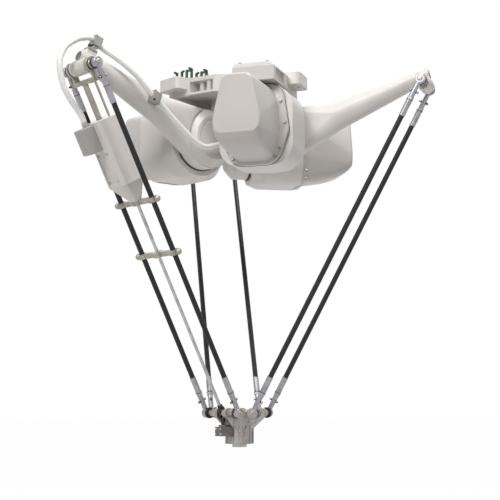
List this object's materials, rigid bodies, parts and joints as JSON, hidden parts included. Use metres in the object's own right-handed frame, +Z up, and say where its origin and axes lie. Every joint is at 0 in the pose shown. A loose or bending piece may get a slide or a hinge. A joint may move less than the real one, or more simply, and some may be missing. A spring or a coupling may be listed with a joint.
{
  "type": "delta robot",
  "caption": "Ceiling-mounted delta robot: three geared drives swing arms whose ball-jointed rod pairs carry a small platform with a turning tool flange.",
  "frame": {"origin": "centre of the circle through the mounting bolts, on the mounting face at the top of the deck", "axes": "+Z up out of the mounting face, +Y over the rear upper arm, +X to the right of the rear arm seen from the front"},
  "size_m": [1.0334, 0.9351, 1.0622],
  "materials": {
    "casting_paint": "satin",
    "cover_paint": "satin",
    "fitting_green": "glossy",
    "screw_steel": "satin",
    "seal_rubber": "matt",
    "motor_black": "satin",
    "gear_steel": "satin",
    "bar_stainless": "satin",
    "carbon_tube": "satin",
    "rod_end_alloy": "satin",
    "hose_white": "satin",
    "clamp_alloy": "satin",
    "connector_grey": "satin",
    "gear_case_dark": "satin",
    "flange_steel": "polished"
  },
  "bodies": {
    "base": {"deck": "casting_paint", "terminal_box": "casting_paint", "cable_fittings": "fitting_green", "housing_screws": "screw_steel", "shaft_seals": "seal_rubber", "drive_housing_left": "casting_paint", "drive_housing_right": "casting_paint", "drive_housing_rear": "casting_paint", "motor_cover_left": "cover_paint", "motor_cover_right": "cover_paint", "motor_cover_rear": "cover_paint", "servo_motor_left": "motor_black", "servo_motor_right": "motor_black", "servo_motor_rear": "motor_black", "reducer_left": "gear_steel", "reducer_right": "gear_steel", "reducer_rear": "gear_steel", "hose_gland": "clamp_alloy", "hose_shoulder": "hose_white"},
    "upper_arm_left": {"upper_arm_left": "casting_paint", "hub_cap_left": "casting_paint", "output_flange_left": "gear_steel", "elbow_bar_left": "bar_stainless", "hose_arm": "hose_white", "hose_clamps": "clamp_alloy", "hose_elbow": "hose_white"},
    "upper_arm_right": {"upper_arm_right": "casting_paint", "hub_cap_right": "casting_paint", "output_flange_right": "gear_steel", "elbow_bar_right": "bar_stainless"},
    "upper_arm_rear": {"upper_arm_rear": "casting_paint", "hub_cap_rear": "casting_paint", "output_flange_rear": "gear_steel", "elbow_bar_rear": "bar_stainless"},
    "forearm_left": {"rods_left": "carbon_tube", "rod_ends_left": "rod_end_alloy", "hanger": "clamp_alloy", "wrist_housing": "casting_paint", "wrist_motor": "motor_black", "connector_box": "connector_grey", "hose_fitting": "clamp_alloy", "rod_clamps": "clamp_alloy"},
    "forearm_right": {"rods_right": "carbon_tube", "rod_ends_right": "rod_end_alloy"},
    "forearm_rear": {"rods_rear": "carbon_tube", "rod_ends_rear": "rod_end_alloy"},
    "drive_shaft": {"drive_shaft": "gear_steel", "shaft_coupling": "gear_steel"},
    "platform": {"platform": "casting_paint", "ball_bars": "bar_stainless", "joint_eyes": "rod_end_alloy", "gear_case": "gear_case_dark", "flange_bearing": "flange_steel"},
    "input_shaft": {"input_shaft": "gear_steel"},
    "cross_shaft": {"cross_shaft": "gear_steel"},
    "tool_flange": {"tool_flange": "flange_steel", "flange_gear": "gear_steel"}
  },
  "joints": [
    {"name": "shoulder_left", "type": "hinge", "parent": "base", "child": "upper_arm_left", "pos_m": [-0.09526, -0.055, -0.166], "axis": [-0.5, 0.866, 0], "range_deg": [-60, 0], "deforming": ["hose_shoulder"]},
    {"name": "shoulder_right", "type": "hinge", "parent": "base", "child": "upper_arm_right", "pos_m": [0.09526, -0.055, -0.166], "axis": [-0.5, -0.866, 0], "range_deg": [-60, 0]},
    {"name": "shoulder_rear", "type": "hinge", "parent": "base", "child": "upper_arm_rear", "pos_m": [0, 0.11, -0.166], "axis": [1, 0, 0], "range_deg": [-60, 0]},
    {"name": "elbow_left", "type": "hinge", "parent": "upper_arm_left", "child": "forearm_left", "pos_m": [-0.45966, -0.26539, -0.03736], "axis": [-0.5, 0.866, 0], "range_deg": [0, 66.3], "deforming": ["hose_elbow"]},
    {"name": "elbow_right", "type": "hinge", "parent": "upper_arm_right", "child": "forearm_right", "pos_m": [0.45966, -0.26539, -0.03736], "axis": [-0.5, -0.866, 0], "range_deg": [0, 66.3]},
    {"name": "elbow_rear", "type": "hinge", "parent": "upper_arm_rear", "child": "forearm_rear", "pos_m": [0, 0.53077, -0.03736], "axis": [1, 0, 0], "range_deg": [0, 66.3]},
    {"name": "platform_pivot", "type": "hinge", "parent": "forearm_left", "child": "platform", "pos_m": [-0.05196, -0.03, -0.91961], "axis": [-0.5, 0.866, 0], "range_deg": [-6.3, 0]},
    {"name": "tool_spin", "type": "hinge", "parent": "platform", "child": "tool_flange", "pos_m": [0, 0, -1.00361], "axis": [0, 0, 1], "continuous": true},
    {"name": "cross_shaft_spin", "type": "hinge", "parent": "platform", "child": "cross_shaft", "pos_m": [0, 0, -0.96961], "axis": [-0.866, -0.5, 0], "continuous": true},
    {"name": "input_shaft_spin", "type": "hinge", "parent": "platform", "child": "input_shaft", "pos_m": [-0.05196, -0.03, -0.91961], "axis": [0, 0, 1], "continuous": true},
    {"name": "drive_shaft_spin", "type": "hinge", "parent": "forearm_left", "child": "drive_shaft", "pos_m": [-0.45966, -0.26539, -0.03736], "axis": [-0.4077, -0.2354, 0.8823], "continuous": true}
  ],
  "couplings": [
    {"joint": "shoulder_right", "follows": "shoulder_left", "ratio": 1},
    {"joint": "shoulder_rear", "follows": "shoulder_left", "ratio": 1},
    {"joint": "elbow_left", "follows": "shoulder_left", "ratio": -1.1043},
    {"joint": "elbow_right", "follows": "shoulder_left", "ratio": -1.1043},
    {"joint": "elbow_rear", "follows": "shoulder_left", "ratio": -1.1043},
    {"joint": "platform_pivot", "follows": "shoulder_left", "ratio": 0.10431},
    {"joint": "cross_shaft_spin", "follows": "tool_spin", "ratio": 2},
    {"joint": "input_shaft_spin", "follows": "tool_spin", "ratio": 2},
    {"joint": "drive_shaft_spin", "follows": "tool_spin", "ratio": 2}
  ]
}
